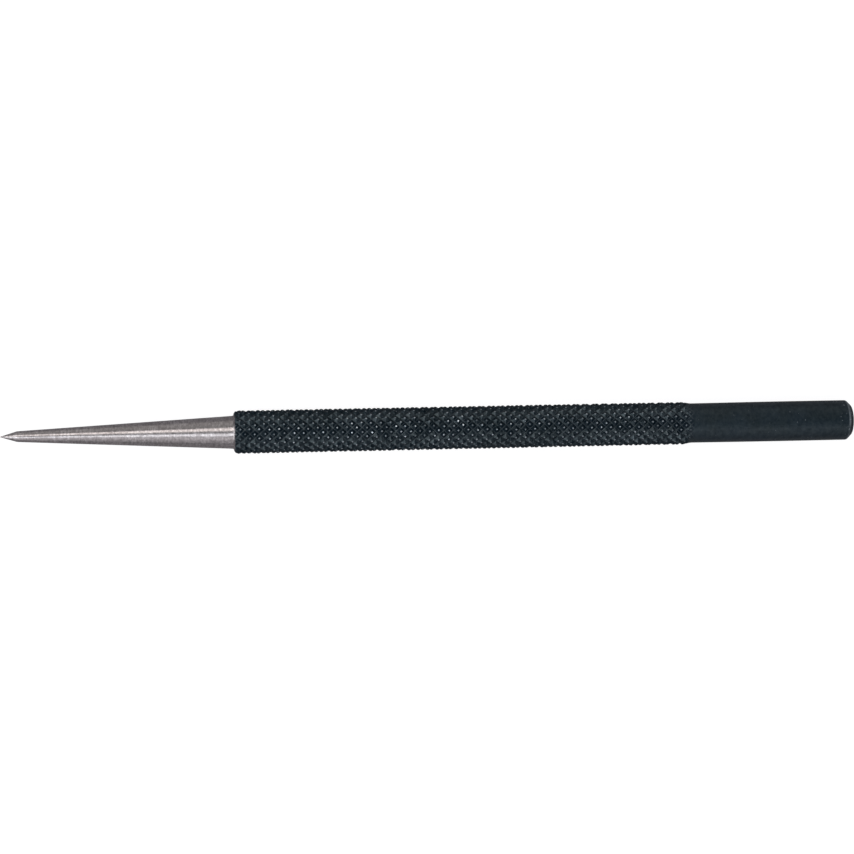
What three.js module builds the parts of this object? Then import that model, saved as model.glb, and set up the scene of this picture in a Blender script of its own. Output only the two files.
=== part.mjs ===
// A slim hand centre punch: a bright ground point seated in a blackened, knurled bar.
// The axis lies along X. The point faces -X, and the origin is the centre of the struck face.
// Lengths are in millimetres.
import * as THREE from 'three';

// Driving dimensions
const OVERALL = 127; // tip to struck face, five inches
const SHANK_DIAMETER = 6;
const TAPER_LENGTH = 34; // tip to the body's front face
const TIP_CONE_LENGTH = 2.5;
const TIP_CONE_DIAMETER = 1.57; // where the cone meets the long taper
const TAPER_ROOT_DIAMETER = 4.82;
const ROOT_FLARE = 0.22; // small concave flare that seats on the body

const SPIGOT_DIAMETER = 3.2;
const SPIGOT_LENGTH = 9;
const SPIGOT_CHAMFER = 0.4;
const BORE_CLEARANCE = 0.02; // on the radius
const BORE_END_ROOM = 0.5;
const DRILL_POINT_ANGLE = THREE.MathUtils.degToRad(118);

const KNURL_PITCH = 1.427; // along the axis
const KNURL_ROWS = 48; // whole pitches along the grip
const KNURL_AROUND = 14; // diamonds in one turn
const CREST_DIAMETER = 6.44;
const GROOVE_DIAMETER = 5.6;
const CREST_LEAD_IN = 0.12; // how much lower the first ring of peaks stands

const HEAD_CHAMFER = 0.75;

// Derived places along the axis
const TIP_X = -OVERALL;
const SHOULDER_X = TIP_X + TAPER_LENGTH;
const GRIP_END_X = SHOULDER_X + KNURL_ROWS * KNURL_PITCH;

// A peak and a groove crossing take turns around each ring, so a ring has two columns for each diamond.
const COLUMNS = 2 * KNURL_AROUND;
const HALF_ROWS = 2 * KNURL_ROWS;

const GROUND_STEEL = new THREE.MeshStandardMaterial({
  color: new THREE.Color(0.6, 0.58, 0.58),
  roughness: 0.32,
  metalness: 1,
});
const BLACK_OXIDE = new THREE.MeshStandardMaterial({
  color: new THREE.Color(0.1, 0.12, 0.13),
  roughness: 0.42,
  metalness: 0.6,
});

// One ring of the turned skin: its place along the axis and its radius at each column.
function ring(x, radiusAt) {
  const radii = Array.from({ length: COLUMNS }, (_, column) => radiusAt(column));
  return { x, radii };
}

function roundRing(x, radius) {
  return ring(x, () => radius);
}

// The first column stands half a step above +Y, so the bar lies on two rows of peaks, not on one.
function ringVertices({ x, radii }) {
  return radii.flatMap((radius, column) => {
    const angle = (2 * Math.PI * (column + 0.5)) / COLUMNS;
    return [x, radius * Math.cos(angle), radius * Math.sin(angle)];
  });
}

// The two triangles of one cell. The shared edge joins the two lower corners, so a groove's floor
// stays straight and each peak becomes a four-sided pyramid.
function cellTriangles(rings, row, column) {
  const next = (column + 1) % COLUMNS;
  const near = rings[row].radii;
  const far = rings[row + 1].radii;
  const a = row * COLUMNS + column;
  const b = row * COLUMNS + next;
  const c = (row + 1) * COLUMNS + next;
  const d = (row + 1) * COLUMNS + column;
  const joinsAC = near[column] + far[next] < near[next] + far[column];
  return joinsAC ? [a, b, c, a, c, d] : [a, b, d, b, c, d];
}

// A closed skin over the rings, drawn in to one point on the axis at each end.
function turnedSkin(startX, rings, endX) {
  const positions = rings.flatMap(ringVertices);
  const startCentre = rings.length * COLUMNS;
  const endCentre = startCentre + 1;
  positions.push(startX, 0, 0, endX, 0, 0);

  const indices = [];
  for (let row = 0; row < rings.length - 1; row += 1) {
    for (let column = 0; column < COLUMNS; column += 1) {
      indices.push(...cellTriangles(rings, row, column));
    }
  }
  const lastRow = (rings.length - 1) * COLUMNS;
  for (let column = 0; column < COLUMNS; column += 1) {
    const next = (column + 1) % COLUMNS;
    indices.push(startCentre, next, column);
    indices.push(endCentre, lastRow + column, lastRow + next);
  }

  const geometry = new THREE.BufferGeometry();
  geometry.setAttribute('position', new THREE.Float32BufferAttribute(positions, 3));
  geometry.setIndex(indices);
  geometry.computeVertexNormals();
  return geometry;
}

// The ground point: a short cone, a long taper, a small flare and a plain spigot behind it.
function pointGeometry() {
  const rootRadius = TAPER_ROOT_DIAMETER / 2;
  const spigotRadius = SPIGOT_DIAMETER / 2;
  const spigotEnd = SHOULDER_X + SPIGOT_LENGTH;
  const rings = [roundRing(TIP_X + TIP_CONE_LENGTH, TIP_CONE_DIAMETER / 2)];

  const flareSteps = 4;
  for (let step = 0; step <= flareSteps; step += 1) {
    const turn = (Math.PI / 2) * (step / flareSteps);
    const x = SHOULDER_X - ROOT_FLARE * (1 - Math.sin(turn));
    rings.push(roundRing(x, rootRadius + ROOT_FLARE * (1 - Math.cos(turn))));
  }

  rings.push(roundRing(SHOULDER_X, spigotRadius));
  rings.push(roundRing(spigotEnd - SPIGOT_CHAMFER, spigotRadius));
  rings.push(roundRing(spigotEnd, spigotRadius - SPIGOT_CHAMFER));
  return turnedSkin(TIP_X, rings, spigotEnd);
}

// The radius of the knurled surface: peaks where row and column add up to an odd number.
function knurlRadius(row, column) {
  const isPeak = (row + column) % 2 === 1;
  if (!isPeak) {
    return GROOVE_DIAMETER / 2;
  }
  const leadIn = row === 1 ? CREST_LEAD_IN : 0;
  return CREST_DIAMETER / 2 - leadIn;
}

// The grip's rings, from the front edge to where the rolled pattern runs out into the shank.
function gripRings() {
  const rings = [roundRing(SHOULDER_X, GROOVE_DIAMETER / 2)];
  for (let row = 1; row < HALF_ROWS; row += 1) {
    const x = SHOULDER_X + (row * KNURL_PITCH) / 2;
    rings.push(ring(x, (column) => knurlRadius(row, column)));
  }
  rings.push(roundRing(GRIP_END_X, SHANK_DIAMETER / 2));
  return rings;
}

// The blackened bar: a drilled hole for the spigot, the grip, the plain shank and the chamfered head.
function bodyGeometry() {
  const boreRadius = SPIGOT_DIAMETER / 2 + BORE_CLEARANCE;
  const boreEnd = SHOULDER_X + SPIGOT_LENGTH + BORE_END_ROOM;
  const drillPoint = boreEnd + boreRadius / Math.tan(DRILL_POINT_ANGLE / 2);
  const shankRadius = SHANK_DIAMETER / 2;
  const rings = [
    roundRing(boreEnd, boreRadius),
    roundRing(SHOULDER_X, boreRadius),
    ...gripRings(),
    roundRing(-HEAD_CHAMFER, shankRadius),
    roundRing(0, shankRadius - HEAD_CHAMFER),
  ];
  return turnedSkin(drillPoint, rings, 0);
}

function namedMesh(name, geometry, material) {
  const mesh = new THREE.Mesh(geometry, material);
  mesh.name = name;
  return mesh;
}

const centrePunch = new THREE.Group();
centrePunch.add(namedMesh('point', pointGeometry(), GROUND_STEEL));
centrePunch.add(namedMesh('body', bodyGeometry(), BLACK_OXIDE));

export default centrePunch;
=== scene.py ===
import math

import bpy
import numpy as np
from mathutils import Matrix, Vector


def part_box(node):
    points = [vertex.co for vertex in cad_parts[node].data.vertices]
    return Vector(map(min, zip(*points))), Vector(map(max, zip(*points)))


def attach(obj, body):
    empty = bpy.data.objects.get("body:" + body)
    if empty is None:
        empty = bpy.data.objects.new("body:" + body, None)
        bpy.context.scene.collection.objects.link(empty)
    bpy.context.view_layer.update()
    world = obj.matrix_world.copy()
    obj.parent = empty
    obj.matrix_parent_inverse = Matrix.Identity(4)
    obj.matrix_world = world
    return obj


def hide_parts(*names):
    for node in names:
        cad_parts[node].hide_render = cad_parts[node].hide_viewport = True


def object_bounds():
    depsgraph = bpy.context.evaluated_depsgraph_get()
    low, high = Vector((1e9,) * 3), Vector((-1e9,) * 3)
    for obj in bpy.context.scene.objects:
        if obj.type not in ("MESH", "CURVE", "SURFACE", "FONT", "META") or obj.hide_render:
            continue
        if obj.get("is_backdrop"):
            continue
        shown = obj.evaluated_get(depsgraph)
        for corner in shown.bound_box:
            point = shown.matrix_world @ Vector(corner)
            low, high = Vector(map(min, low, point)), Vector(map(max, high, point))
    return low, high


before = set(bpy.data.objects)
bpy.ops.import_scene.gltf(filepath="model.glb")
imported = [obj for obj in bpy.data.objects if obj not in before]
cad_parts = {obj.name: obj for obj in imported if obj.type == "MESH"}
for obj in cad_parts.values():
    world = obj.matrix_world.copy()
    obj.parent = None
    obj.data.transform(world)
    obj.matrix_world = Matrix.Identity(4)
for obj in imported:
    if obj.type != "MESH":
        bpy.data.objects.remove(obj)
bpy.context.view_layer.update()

# The punch lies along X on a pale floor, with its point towards -X and its struck face at the origin.
# Lengths are in metres. The frame gives the overall places, and the sizes here give the finer shape.
MM = 0.001

# Places along the axis and the grip's half width, from the frame
TIP_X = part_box("point")[0].x
SPIGOT_END_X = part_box("point")[1].x
SHOULDER_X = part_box("body")[0].x
HEAD_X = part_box("body")[1].x
MIDDLE_X = (TIP_X + HEAD_X) / 2
GRIP_HALF_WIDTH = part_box("body")[1].y

# The tip is a small nose on a short rounded cap
NOSE_LENGTH = 0.02 * MM
NOSE_RADIUS = 0.033 * MM
CAP_LENGTH = 0.1 * MM
CAP_RADIUS = 0.055 * MM
CAP_ROUNDING = 0.03 * MM

# The cone, the long taper, the flare that seats on the body, and the hidden spigot
CONE_LENGTH = 2.5 * MM
CONE_RADIUS = 0.785 * MM
CONE_EDGE_ROUNDING = 0.15 * MM
TAPER_ROOT_RADIUS = 2.41 * MM
FLARE_LENGTH = 0.27 * MM
FLARE_HEIGHT = 0.22 * MM
FLARE_BEND_LENGTH = 0.09 * MM  # from the bend to the shoulder
FLARE_BEND_HEIGHT = 0.06 * MM  # from the taper's root to the bend
FLARE_ROUNDING = 0.165 * MM
SPIGOT_RADIUS = 1.6 * MM
SPIGOT_CHAMFER = 0.4 * MM

# The point's mesh
POINT_COLUMNS = 128
POINT_RING_STEP = 0.25 * MM
POINT_SHARP_ANGLE = math.radians(25)

# The knurled grip
KNURL_PITCH = 1.427 * MM
KNURL_ROWS = 48
KNURL_AROUND = 14
GROOVE_RADIUS = 2.8 * MM  # at the foot of a sharp groove
LEAD_IN = 0.9 * MM  # the front edge rounds up over this length
RUN_OUT = 1.8 * MM  # the pattern fades into the shank over this length

# The pyramids between the grooves. Heights are shares of a sharp pyramid's height.
LOWEST_FLAT, HIGHEST_FLAT = 0.73, 0.84
FLAT_LEAN = 0.28  # the most that a flat rises over a half pitch
PEAK_SHIFT = 0.17  # the most that a peak stands off its place, in half pitches
GROOVE_FLOOR = 0.09

# The shank, which is very slightly barrelled, and the head
SHANK_RADIUS_AT_GRIP = 2.945 * MM
SHANK_RADIUS = 3.0 * MM
SHANK_RADIUS_AT_HEAD = 2.985 * MM
SHANK_ROUNDING = 6 * MM
HEAD_CHAMFER = 0.75 * MM
HEAD_EDGE_ROUNDING = 0.18 * MM

# The drilled hole that holds the spigot
BORE_CLEARANCE = 0.02 * MM  # on the radius
BORE_END_ROOM = 0.5 * MM
DRILL_POINT_ANGLE = math.radians(118)

# The body's mesh
CELL_STEPS = 5  # rings, and columns, in a half pitch of the grip
FIRST_COLUMN = 0.5  # half pitches from +Y, so that the bar lies on two rows of peaks
SHANK_GAP = 0.2 * MM  # from the grip's last ring to the shank's first
SHANK_RING_STEP = 1.0 * MM
FACE_CENTRE_RADIUS = 0.5 * MM  # the struck face's innermost ring
BODY_SHARP_ANGLE = math.radians(28)

# Sizes and places that follow from the ones above
BORE_RADIUS = SPIGOT_RADIUS + BORE_CLEARANCE
BORE_END_X = SPIGOT_END_X + BORE_END_ROOM
DRILL_POINT_LENGTH = BORE_RADIUS / math.tan(DRILL_POINT_ANGLE / 2)
GRIP_END_X = SHOULDER_X + KNURL_ROWS * KNURL_PITCH
HALF_PITCH = KNURL_PITCH / 2
HALF_TURN = math.pi / KNURL_AROUND
CREST_RADIUS = GRIP_HALF_WIDTH / math.cos(HALF_TURN / 2)

# Colours, as linear red, green, blue and alpha
STEEL_DARK = (0.60, 0.555, 0.555, 1)
STEEL_LIGHT = (0.70, 0.655, 0.66, 1)
STEEL_TICK = (0.34, 0.31, 0.31, 1)
STEEL_SPECKLE = (0.30, 0.27, 0.27, 1)
OXIDE_DARK = (0.0014, 0.0068, 0.0115, 1)
OXIDE_LIGHT = (0.0034, 0.0105, 0.0190, 1)
OXIDE_ON_GRIP = (0, 0.0055, 0.0120, 1)
OXIDE_SHEEN = (0.81, 0.96, 1.0, 1)
BARE_METAL = (0.70, 0.77, 0.83, 1)
FLOOR_PAINT = (0.86, 0.86, 0.86, 1)
FLOOR_GLOW = (1, 1, 1.005, 1)
FLOOR_UNSEEN = (0.32, 0.31, 0.32, 1)
STUDIO_SEEN = (0.9275, 0.9275, 0.93, 1)
STUDIO_UNSEEN = (0.039, 0.051, 0.061, 1)

# Colours of the lights, as red, green and blue
WARM = (1.0, 0.96, 0.925)
COOL = (0.94, 0.97, 1.0)
ROSY = (1.0, 0.965, 0.985)

rng = np.random.default_rng(seed=31)


# ---------------------------------------------------------------- shapes

def rounded_outline(corners, steps=5):
    """Turns (x, radius, rounding) corners into a smooth list of (x, radius) vectors.

    rounding is how far from its corner a curve begins, and a corner with none stays sharp.
    """
    points = []
    for index, (x, radius, rounding) in enumerate(corners):
        here = Vector((x, radius))
        if rounding == 0:
            points.append(here)
            continue
        before = (Vector(corners[index - 1][:2]) - here).normalized()
        after = (Vector(corners[index + 1][:2]) - here).normalized()
        start = here + before * rounding
        end = here + after * rounding
        for step in range(steps + 1):
            t = step / steps
            points.append(start * (1 - t) ** 2 + here * 2 * t * (1 - t) + end * t * t)
    return points


def divided(outline, longest):
    """The outline with its long straight stretches cut into shorter steps."""
    points = [outline[0]]
    for end in outline[1:]:
        start = points[-1]
        count = max(1, math.ceil((end - start).length / longest))
        points += [start.lerp(end, step / count) for step in range(1, count + 1)]
    return points


def round_rings(outline, columns):
    """The places and radii of plain round rings along an outline."""
    places = np.repeat([[point.x] for point in outline], columns, axis=1)
    radii = np.repeat([[point.y] for point in outline], columns, axis=1)
    return places, radii


def skin(name, xs, angles, radii, ends, first_diagonal=True):
    """A closed mesh over rings of vertices, drawn in to one point on the axis at each end.

    xs and radii hold every vertex's place along the axis and its radius, ring by ring. angles holds
    the turns round the axis, for every vertex or for one ring. first_diagonal says which diagonal
    divides a cell, for every cell or for all of them: True for the one from the cell's first corner.
    """
    rows, columns = radii.shape
    ys, zs = radii * np.cos(angles), radii * np.sin(angles)
    vertices = np.stack([xs, ys, zs], axis=2).reshape(-1, 3)
    vertices = np.vstack([vertices, [ends[0], 0, 0], [ends[1], 0, 0]])

    row, column = np.indices((rows - 1, columns))
    following = (column + 1) % columns
    a, b = row * columns + column, row * columns + following
    c, d = (row + 1) * columns + following, (row + 1) * columns + column
    halves = np.where(
        np.asarray(first_diagonal)[..., None],
        np.stack([a, b, c, a, c, d], axis=-1),
        np.stack([a, b, d, b, c, d], axis=-1),
    )
    ring = np.arange(columns)
    onward = (ring + 1) % columns
    last = (rows - 1) * columns
    start_fan = np.stack([np.full(columns, rows * columns), onward, ring], axis=1)
    end_fan = np.stack([np.full(columns, rows * columns + 1), last + ring, last + onward], axis=1)
    faces = np.vstack([halves.reshape(-1, 3), start_fan, end_fan])

    mesh = bpy.data.meshes.new(name)
    mesh.from_pydata(vertices.tolist(), [], faces.tolist())
    mesh.validate()
    piece = bpy.data.objects.new(name, mesh)
    bpy.context.scene.collection.objects.link(piece)
    return piece


def shade(piece, sharp_angle):
    """Smooth shading, with the edges steeper than the given angle left sharp."""
    piece.data.shade_smooth()
    piece.data.set_sharp_from_angle(angle=sharp_angle)


def keep_values(piece, name, grip_values, first_vertex):
    """Stores a value at each of the grip's vertices, for the material. It is 0 everywhere else."""
    values = np.zeros(len(piece.data.vertices), np.float32)
    values[first_vertex:first_vertex + grip_values.size] = grip_values.ravel()
    attribute = piece.data.attributes.new(name, "FLOAT", "POINT")
    attribute.data.foreach_set("value", values)


def point_piece():
    """The ground point: a rounded tip, a short cone, a long taper, a flare and the hidden spigot."""
    bend_x = SHOULDER_X - FLARE_BEND_LENGTH
    corners = [
        (TIP_X + NOSE_LENGTH, NOSE_RADIUS, 0),
        (TIP_X + CAP_LENGTH, CAP_RADIUS, CAP_ROUNDING),
        (TIP_X + CONE_LENGTH, CONE_RADIUS, CONE_EDGE_ROUNDING),
        (SHOULDER_X - FLARE_LENGTH, TAPER_ROOT_RADIUS, 0),
        (bend_x, TAPER_ROOT_RADIUS + FLARE_BEND_HEIGHT, FLARE_ROUNDING),
        (SHOULDER_X, TAPER_ROOT_RADIUS + FLARE_HEIGHT, 0),
        (SHOULDER_X, SPIGOT_RADIUS, 0),
        (SPIGOT_END_X - SPIGOT_CHAMFER, SPIGOT_RADIUS, 0),
        (SPIGOT_END_X, SPIGOT_RADIUS - SPIGOT_CHAMFER, 0),
    ]
    outline = divided(rounded_outline(corners), POINT_RING_STEP)
    places, radii = round_rings(outline, POINT_COLUMNS)
    angles = 2 * math.pi * np.arange(POINT_COLUMNS) / POINT_COLUMNS
    piece = skin("ground_point", places, angles, radii, ends=(TIP_X, SPIGOT_END_X))
    shade(piece, POINT_SHARP_ANGLE)
    return piece


def smooth_step(t):
    """Rises smoothly from 0 to 1 as t does, and stays level beyond."""
    t = np.clip(t, 0, 1)
    return t * t * (3 - 2 * t)


def grip_surface(rows, columns):
    """The rolled surface. Two sets of grooves cross, and a pyramid with a flat top stands between.

    rows and columns are counted in half pitches, along the axis and round it. Returns each place's
    shift along and round in half pitches, its radius, its share of a sharp pyramid's height, and the
    share of the pattern's depth that is left there.
    """
    row, column = np.meshgrid(rows, columns, indexing="ij")
    first, second = (row + column) / 2, (row - column) / 2
    across_first = 2 * np.abs(first - np.round(first))
    across_second = 2 * np.abs(second - np.round(second))
    pyramid = np.minimum(across_first, across_second)

    # No two pyramids are quite alike in the height and lean of their flat, or in where it stands
    peak_row = np.floor(first) + np.floor(second) + 1
    peak_column = np.floor(first) - np.floor(second)
    table = (2 * KNURL_ROWS + 2, 2 * KNURL_AROUND)
    peak = (np.clip(peak_row, 0, table[0] - 1).astype(int), peak_column.astype(int) % table[1])
    flats = LOWEST_FLAT + (HIGHEST_FLAT - LOWEST_FLAT) * rng.random(table)
    leans = FLAT_LEAN * (2 * rng.random((2,) + table) - 1)
    shifts = PEAK_SHIFT * (2 * rng.random((2,) + table) - 1)
    lean = leans[0][peak] * (row - peak_row) + leans[1][peak] * (column - peak_column)
    height = np.clip(np.minimum(pyramid, flats[peak] + lean), GROOVE_FLOOR, None)

    # Towards the plain shank the flats sink to its surface and the grooves grow shallow and narrow
    depth = (CREST_RADIUS - GROOVE_RADIUS) / HIGHEST_FLAT
    along = row * HALF_PITCH
    fade = smooth_step((along - (KNURL_ROWS * KNURL_PITCH - RUN_OUT)) / RUN_OUT)
    knurled = GROOVE_RADIUS + (SHANK_RADIUS_AT_GRIP - GROOVE_RADIUS) * fade + depth * height
    land = CREST_RADIUS + (SHANK_RADIUS_AT_GRIP - CREST_RADIUS) * fade

    # The front edge rounds up from the grooves to the crests
    entry = 1 - np.clip(along / LEAD_IN, 0, 1)
    envelope = GROOVE_RADIUS + (CREST_RADIUS - GROOVE_RADIUS) * np.sqrt(1 - entry ** 2)
    radii = np.minimum(np.minimum(knurled, land), envelope)

    # A place shifts the more, the higher up its pyramid it stands, and the front edge stays straight
    reach = pyramid * (1 - fade) * np.clip(along / HALF_PITCH, 0, 1)
    return shifts[0][peak] * reach, shifts[1][peak] * reach, radii, pyramid, 1 - fade


def body_piece():
    """The blackened bar: the drilled hole, the knurled grip, the plain shank and the chamfered head."""
    steps = np.arange(CELL_STEPS) / CELL_STEPS
    half_columns = np.add.outer(np.arange(2 * KNURL_AROUND), steps).ravel()
    half_rows = np.append(np.add.outer(np.arange(2 * KNURL_ROWS), steps).ravel(), 2 * KNURL_ROWS)
    count = len(half_columns)

    bore = [Vector((BORE_END_X, BORE_RADIUS)), Vector((SHOULDER_X, BORE_RADIUS))]
    plain = rounded_outline([
        (GRIP_END_X + SHANK_GAP, SHANK_RADIUS_AT_GRIP, 0),
        ((GRIP_END_X + HEAD_X) / 2, SHANK_RADIUS, SHANK_ROUNDING),
        (HEAD_X - HEAD_CHAMFER, SHANK_RADIUS_AT_HEAD, HEAD_EDGE_ROUNDING),
        (HEAD_X, SHANK_RADIUS_AT_HEAD - HEAD_CHAMFER, HEAD_EDGE_ROUNDING),
        (HEAD_X, FACE_CENTRE_RADIUS, 0),
    ])
    bore_places, bore_radii = round_rings(bore, count)
    plain_places, plain_radii = round_rings(divided(plain, SHANK_RING_STEP), count)

    along, around, grip_radii, heights, knurled = grip_surface(half_rows, half_columns)
    grip_places = SHOULDER_X + (half_rows[:, None] + along) * HALF_PITCH
    grip_start = len(bore)
    xs = np.vstack([bore_places, grip_places, plain_places])
    radii = np.vstack([bore_radii, grip_radii, plain_radii])
    turns = np.repeat(half_columns[None, :] + FIRST_COLUMN, len(radii), axis=0)
    turns[grip_start:grip_start + len(half_rows)] += around

    # The diagonals follow the grooves, and change direction from one half pitch to the next
    row, column = np.indices((len(radii) - 1, count))
    cell_row, cell_column = (row - grip_start) // CELL_STEPS, column // CELL_STEPS
    first_diagonal = (cell_row + cell_column) % 2 == 0

    ends = (BORE_END_X + DRILL_POINT_LENGTH, HEAD_X)
    piece = skin("knurled_body", xs, turns * HALF_TURN, radii, ends, first_diagonal)
    keep_values(piece, "knurl_height", heights, grip_start * count)
    keep_values(piece, "knurled", knurled, grip_start * count)
    shade(piece, BODY_SHARP_ANGLE)
    return piece


# ---------------------------------------------------------------- materials

class Nodes:
    """A short way to write the node tree of a material or a world."""

    def __init__(self, owner):
        owner.use_nodes = True
        self.tree = owner.node_tree
        self.tree.nodes.clear()

    def add(self, kind, inputs=None, **settings):
        """A node. An input that is another node's socket is linked, and any other is a plain value."""
        node = self.tree.nodes.new(kind)
        for key, value in settings.items():
            setattr(node, key, value)
        for key, value in (inputs or {}).items():
            if isinstance(value, bpy.types.NodeSocket):
                self.tree.links.new(value, node.inputs[key])
            else:
                node.inputs[key].default_value = value
        return node

    def math(self, operation, value, *others):
        """The value after the operation, done once with each of the others in turn."""
        for other in others or (0,):
            value = self.add("ShaderNodeMath", {0: value, 1: other}, operation=operation).outputs[0]
        return value

    def remap(self, value, old, new):
        """Takes the old (from, to) range to the new one, and holds the value inside it."""
        limits = {"From Min": old[0], "From Max": old[1], "To Min": new[0], "To Max": new[1]}
        return self.add("ShaderNodeMapRange", {"Value": value, **limits}).outputs["Result"]

    def noise(self, vector, scale, detail, roughness):
        inputs = {"Vector": vector, "Scale": scale, "Detail": detail, "Roughness": roughness}
        return self.add("ShaderNodeTexNoise", inputs).outputs["Fac"]

    def mix(self, share, first, second):
        """A colour that goes from the first to the second as the share goes from 0 to 1."""
        inputs = {"Factor": share, 6: first, 7: second}
        return self.add("ShaderNodeMix", inputs, data_type="RGBA").outputs[2]

    def mix_vectors(self, share, first, second):
        inputs = {"Factor": share, 4: first, 5: second}
        return self.add("ShaderNodeMix", inputs, data_type="VECTOR").outputs[1]

    def vector_math(self, operation, a, b=(0, 0, 0)):
        return self.add("ShaderNodeVectorMath", {0: a, 1: b}, operation=operation)

    def bump(self, height, distance, strength, normal=None):
        """A normal, tilted by the height's slope, on top of an earlier normal if one is given."""
        inputs = {"Height": height, "Distance": distance, "Strength": strength}
        if normal is not None:
            inputs["Normal"] = normal
        return self.add("ShaderNodeBump", inputs).outputs["Normal"]

    def place(self):
        return self.add("ShaderNodeTexCoord").outputs["Object"]

    def attribute(self, name):
        return self.add("ShaderNodeAttribute", attribute_name=name).outputs["Fac"]

    def stretched(self, along, around):
        """Coordinates that are scaled along the axis and across it by the given factors."""
        inputs = {"Vector": self.place(), "Scale": (along, around, around)}
        return self.add("ShaderNodeMapping", inputs).outputs[0]

    def from_axis(self):
        """The step from the axis out to this place."""
        return self.vector_math("MULTIPLY", self.place(), (0, 1, 1)).outputs[0]

    def outward(self):
        """The direction straight out from the axis."""
        return self.vector_math("NORMALIZE", self.from_axis()).outputs[0]

    def turned(self, around):
        """Coordinates for turning marks, which run round the skin and in rings on the end face."""
        radius = self.vector_math("LENGTH", self.from_axis()).outputs["Value"]
        inward = self.add("ShaderNodeCombineXYZ", {0: self.math("MULTIPLY", radius, -1)}).outputs[0]
        return self.vector_math("ADD", self.stretched(1, around), inward).outputs[0]

    def seen_or_unseen(self, seen, unseen):
        """One shader for the camera's own view, and another for the light that reaches the objects."""
        camera_ray = self.add("ShaderNodeLightPath").outputs["Is Camera Ray"]
        return self.add("ShaderNodeMixShader", {0: camera_ray, 1: unseen, 2: seen}).outputs[0]


def ground_steel():
    """Bright steel with fine grinding lines that run round the axis."""
    material = bpy.data.materials.new("ground_steel")
    n = Nodes(material)
    lines = n.noise(n.stretched(1, 0.06), scale=9000, detail=3, roughness=0.6)
    coarse = n.noise(n.stretched(1, 0.12), scale=2600, detail=3, roughness=0.6)
    speckle = n.noise(n.stretched(1, 0.7), scale=3600, detail=3, roughness=0.7)
    ticks = n.noise(n.stretched(1, 0.35), scale=3000, detail=2, roughness=0.6)
    cloud = n.noise(n.stretched(1, 1), scale=420, detail=2, roughness=0.5)

    base = n.mix(n.remap(cloud, (0.35, 0.65), (0, 1)), STEEL_DARK, STEEL_LIGHT)
    base = n.mix(n.remap(ticks, (0.38, 0.64), (0, 0.50)), base, STEEL_TICK)
    base = n.mix(n.remap(speckle, (0.44, 0.60), (0, 0.62)), base, STEEL_SPECKLE)

    normal = n.bump(coarse, distance=0.004 * MM, strength=0.8)
    normal = n.bump(lines, distance=0.0015 * MM, strength=0.9, normal=normal)
    normal = n.bump(speckle, distance=0.002 * MM, strength=0.6, normal=normal)
    round_axis = n.add("ShaderNodeTangent", direction_type="RADIAL", axis="X").outputs[0]
    shader = n.add("ShaderNodeBsdfPrincipled", {
        "Base Color": base,
        "Metallic": 1,
        "Roughness": n.remap(coarse, (0.3, 0.7), (0.27, 0.40)),
        "Normal": normal,
        "Anisotropic": 0.6,
        "Anisotropic Rotation": 0.25,
        "Tangent": round_axis,
    }).outputs[0]
    n.add("ShaderNodeOutputMaterial", {"Surface": shader})
    return material


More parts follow.
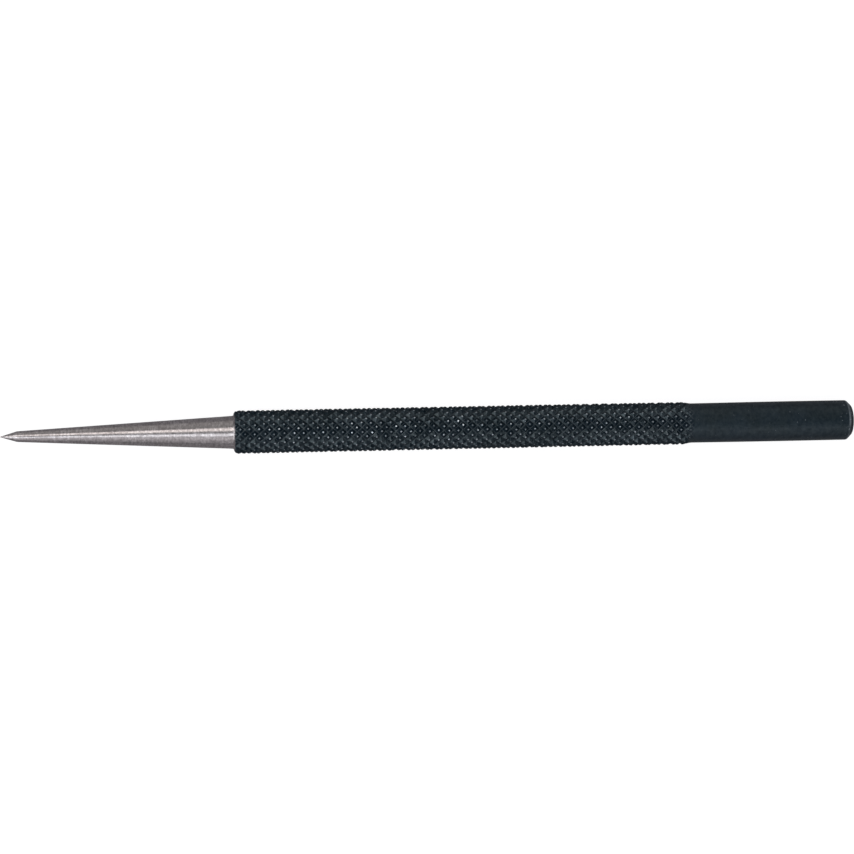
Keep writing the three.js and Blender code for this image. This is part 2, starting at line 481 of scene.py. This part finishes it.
def black_oxide():
    """Steel under a thin black oxide with a blue-green cast. Rolling has left the grip smoother."""
    material = bpy.data.materials.new("black_oxide")
    n = Nodes(material)
    cloud = n.noise(n.stretched(1, 1), scale=300, detail=3, roughness=0.6)
    mottle = n.noise(n.stretched(1, 0.7), scale=1900, detail=3, roughness=0.7)
    specks = n.noise(n.stretched(1, 1), scale=3300, detail=1, roughness=0.5)
    fine = n.noise(n.stretched(1, 0.5), scale=5000, detail=3, roughness=0.6)
    turning = n.noise(n.turned(around=0.04), scale=5200, detail=2, roughness=0.6)
    along = n.add("ShaderNodeSeparateXYZ", {0: n.place()}).outputs[0]
    height = n.attribute("knurl_height")
    knurled = n.attribute("knurled")

    # Bare metal shows on the worn tops, along the head's corner, in specks, and a little in the grooves
    uneven = n.remap(cloud, (0.38, 0.60), (0.2, 1))
    tops = n.remap(height, (0.78, 0.84), (0, 1))
    less_near_head = n.remap(along, (SHOULDER_X, GRIP_END_X), (1.15, 0.55))
    less_near_shoulder = n.remap(along, (SHOULDER_X + 1 * MM, SHOULDER_X + 6 * MM), (0.25, 1))
    worn = n.math("MULTIPLY", tops, uneven, knurled, less_near_head, less_near_shoulder)
    off_corner = n.math("ABSOLUTE", n.math("SUBTRACT", along, HEAD_X - HEAD_CHAMFER))
    corner = n.math("MULTIPLY", n.remap(off_corner, (0.05 * MM, 0.24 * MM), (0.34, 0)), uneven)
    near_corner = n.remap(off_corner, (0, 2 * MM), (0.10, 0))
    bare_specks = n.remap(n.math("ADD", specks, near_corner), (0.76, 0.84), (0, 0.5))
    in_grip = n.remap(knurled, (0, 0.1), (0, 1))
    groove_floor = n.math("MULTIPLY", n.remap(height, (0.04, 0.10), (1, 0)), in_grip)
    bare_floor = n.math("MULTIPLY", groove_floor, uneven, 0.08)
    bare = n.math("MAXIMUM", worn, corner, bare_specks, bare_floor)

    base = n.mix(n.remap(cloud, (0.35, 0.65), (0, 1)), OXIDE_DARK, OXIDE_LIGHT)
    base = n.mix(n.math("MULTIPLY", knurled, 0.4), base, OXIDE_ON_GRIP)
    base = n.mix(bare, base, BARE_METAL)

    # The grip, the bare metal and the rolled groove floors are each a little smoother
    rough = n.remap(fine, (0.3, 0.7), (0.34, 0.46))
    for smoother, amount in ((knurled, 0.06), (bare, 0.08), (groove_floor, 0.10)):
        rough = n.math("SUBTRACT", rough, n.math("MULTIPLY", smoother, amount))

    # The sheen is weaker on the grip and varies more there
    sheen_change = n.remap(knurled, (0, 1), (0.18, 0.30))
    sheen = n.math("MULTIPLY", n.remap(mottle, (0.3, 0.7), (-1, 1)), sheen_change)
    sheen = n.math("ADD", sheen, n.remap(knurled, (0, 1), (0.50, 0.38)))

    normal = n.bump(turning, distance=0.0015 * MM, strength=0.6)
    normal = n.bump(fine, distance=0.003 * MM, strength=0.7, normal=normal)
    normal = n.mix_vectors(groove_floor, normal, n.outward())
    shader = n.add("ShaderNodeBsdfPrincipled", {
        "Base Color": base,
        "Metallic": bare,
        "Roughness": rough,
        "Normal": normal,
        "IOR": 1.6,
        "Specular IOR Level": sheen,
        "Specular Tint": OXIDE_SHEEN,
    }).outputs[0]
    n.add("ShaderNodeOutputMaterial", {"Surface": shader})
    return material


def pale_floor():
    """A plain pale floor. It looks evenly lit to the camera, and reflects more softly than it looks."""
    material = bpy.data.materials.new("pale_floor")
    n = Nodes(material)
    lit = n.add("ShaderNodeBsdfDiffuse", {"Color": FLOOR_PAINT}).outputs[0]
    glow = n.add("ShaderNodeEmission", {"Color": FLOOR_GLOW, "Strength": 1.22}).outputs[0]
    glow_share = 0.75
    seen = n.add("ShaderNodeMixShader", {0: glow_share, 1: lit, 2: glow}).outputs[0]
    unseen = n.add("ShaderNodeBsdfDiffuse", {"Color": FLOOR_UNSEEN}).outputs[0]
    n.add("ShaderNodeOutputMaterial", {"Surface": n.seen_or_unseen(seen, unseen)})
    return material


# ---------------------------------------------------------------- floor, light and camera

def floor():
    """A large disc that touches the lowest peaks of the grip."""
    sides, reach = 96, 40.0
    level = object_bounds()[0].z
    turns = [2 * math.pi * side / sides for side in range(sides)]
    rim = [(reach * math.cos(turn), reach * math.sin(turn), level) for turn in turns]
    mesh = bpy.data.meshes.new("floor")
    mesh.from_pydata(rim, [], [list(range(sides))])
    mesh.materials.append(pale_floor())
    disc = bpy.data.objects.new("floor", mesh)
    bpy.context.scene.collection.objects.link(disc)
    disc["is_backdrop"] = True


def softbox(name, place, target, long_axis, width, length, brightness, colour):
    """A soft rectangular light at place that faces target, with its length along the long axis."""
    data = bpy.data.lights.new(name, "AREA")
    data.shape = "RECTANGLE"
    data.size = length
    data.size_y = width
    data.energy = brightness * math.pi * width * length
    data.color = colour
    light = bpy.data.objects.new(name, data)
    bpy.context.scene.collection.objects.link(light)
    facing = (place - target).normalized()
    up = facing.cross(Vector(long_axis)).normalized()
    side = up.cross(facing).normalized()
    light.matrix_world = Matrix.Translation(place) @ Matrix((side, up, facing)).transposed().to_4x4()
    light.visible_camera = False


def light_alongside(name, turn, distance, shift=0, **box):
    """A box that lies along the punch, turned round its axis by some degrees from straight above."""
    turn = math.radians(turn)
    target = Vector((MIDDLE_X + shift, 0, 0))
    place = target + distance * Vector((0, math.sin(turn), math.cos(turn)))
    softbox(name, place, target, (1, 0, 0), **box)


def light_beyond(name, azimuth, elevation, distance, **box):
    """A box that lies across the punch's line. At azimuth 0 it is past the point."""
    turn, rise = math.radians(azimuth), math.radians(elevation)
    level = math.cos(rise)
    target = Vector((MIDDLE_X, 0, 0))
    direction = Vector((-level * math.cos(turn), -level * math.sin(turn), math.sin(rise)))
    softbox(name, target + distance * direction, target, (0, 1, 0), **box)


def lights():
    """Two strips above, that reach from past the point to the head, and dimmer boxes all round."""
    light_alongside("warm_strip", turn=20.6, distance=0.5, shift=-0.27,
                    width=0.178, length=0.70, brightness=2.15, colour=WARM)
    light_alongside("cool_strip", turn=-17.9, distance=0.5, shift=-0.27,
                    width=0.158, length=0.70, brightness=2.25, colour=COOL)
    light_alongside("side_above", turn=66, distance=0.8,
                    width=0.66, length=1.2, brightness=0.39, colour=WARM)
    light_alongside("side_below", turn=-45, distance=0.8,
                    width=0.32, length=1.2, brightness=0.72, colour=ROSY)
    light_alongside("low_below", turn=-72, distance=0.8,
                    width=0.40, length=1.2, brightness=0.42, colour=ROSY)
    light_beyond("beyond_point", azimuth=8, elevation=31, distance=0.8,
                 width=0.38, length=1.15, brightness=1.74, colour=COOL)
    light_beyond("beyond_head", azimuth=188, elevation=34, distance=0.8,
                 width=0.30, length=0.6, brightness=0.8, colour=COOL)
    light_beyond("low_head", azimuth=180, elevation=13, distance=0.8,
                 width=0.34, length=0.9, brightness=0.30, colour=COOL)


def surroundings():
    """A pale studio to the camera, and a dimmer one to everything that it lights."""
    world = bpy.data.worlds.new("studio")
    bpy.context.scene.world = world
    n = Nodes(world)
    seen = n.add("ShaderNodeBackground", {"Color": STUDIO_SEEN}).outputs[0]
    unseen = n.add("ShaderNodeBackground", {"Color": STUDIO_UNSEEN}).outputs[0]
    n.add("ShaderNodeOutputWorld", {"Surface": n.seen_or_unseen(seen, unseen)})


def camera():
    """Looks down, a little from the point's side, with the head a little higher in the frame."""
    distance = 399.8 * MM
    aim = Vector((MIDDLE_X - 0.95 * MM, 0.20 * MM, 0))
    turn, roll = math.radians(7.3), math.radians(1.157)
    back = Vector((-math.sin(turn), 0, math.cos(turn)))
    level = Vector((math.cos(turn), 0, math.sin(turn)))
    upright = Vector((0, 1, 0))
    right = level * math.cos(roll) - upright * math.sin(roll)
    up = level * math.sin(roll) + upright * math.cos(roll)
    data = bpy.data.cameras.new("camera")
    data.lens = 113.8
    data.sensor_width = 36
    data.clip_start = 0.01
    data.clip_end = 20
    view = bpy.data.objects.new("camera", data)
    bpy.context.scene.collection.objects.link(view)
    basis = Matrix((right, up, back)).transposed().to_4x4()
    view.matrix_world = Matrix.Translation(aim + back * distance) @ basis
    bpy.context.scene.camera = view


# ---------------------------------------------------------------- the whole scene

def stand_for(node, piece, material):
    """Gives the piece its material, and puts it in the place of a CAD node."""
    piece.data.materials.append(material)
    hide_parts(node)
    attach(piece, "root")


stand_for("point", point_piece(), ground_steel())
stand_for("body", body_piece(), black_oxide())
floor()
lights()
surroundings()
camera()
bpy.context.scene.view_settings.view_transform = "Standard"
